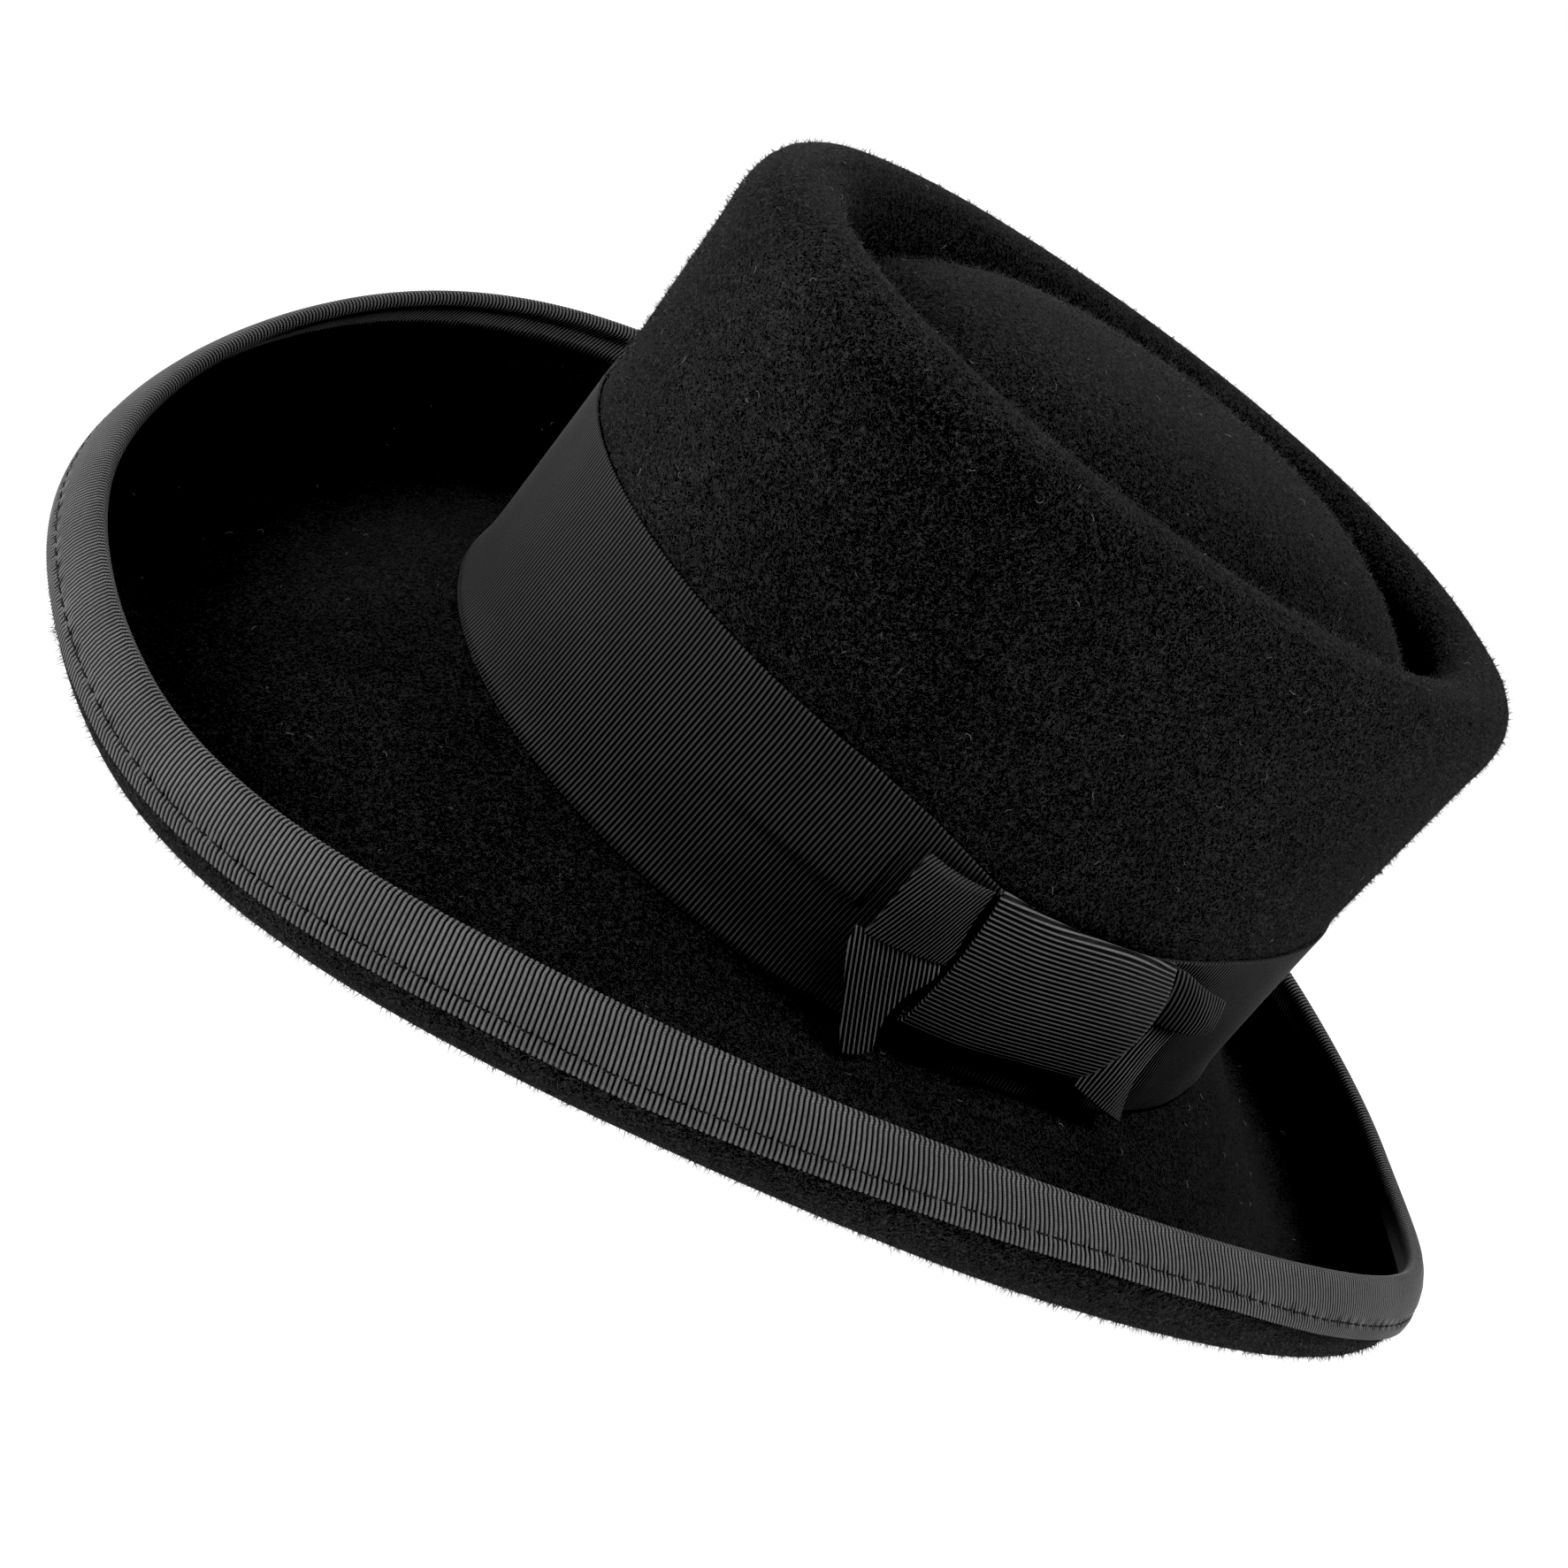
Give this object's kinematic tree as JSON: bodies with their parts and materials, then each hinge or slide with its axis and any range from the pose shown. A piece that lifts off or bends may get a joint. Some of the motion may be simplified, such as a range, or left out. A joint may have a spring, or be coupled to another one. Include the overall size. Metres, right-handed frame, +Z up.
{
  "type": "gambler hat",
  "caption": "Felt gambler hat with a creased telescope crown, a rolled ribbon-bound brim, a grosgrain band and a flat side bow.",
  "frame": {"origin": "middle of the brim's outline, on the plane that the brim rests on", "axes": "+Z up, -Y to the front of the hat, +X to the wearer's left, where the bow is"},
  "size_m": [0.2962, 0.3624, 0.153],
  "materials": {
    "felt": "matt black wool felt with a short fibrous nap",
    "grosgrain": "ribbed charcoal grosgrain ribbon with a faint sheen"
  },
  "bodies": {
    "root": {"felt_body": "felt", "brim_binding": "grosgrain", "hat_band": "grosgrain", "bow_centre": "grosgrain", "bow_front_tail": "grosgrain", "bow_rear_tail_upper": "grosgrain", "bow_rear_tail_lower": "grosgrain"}
  },
  "joints": []
}
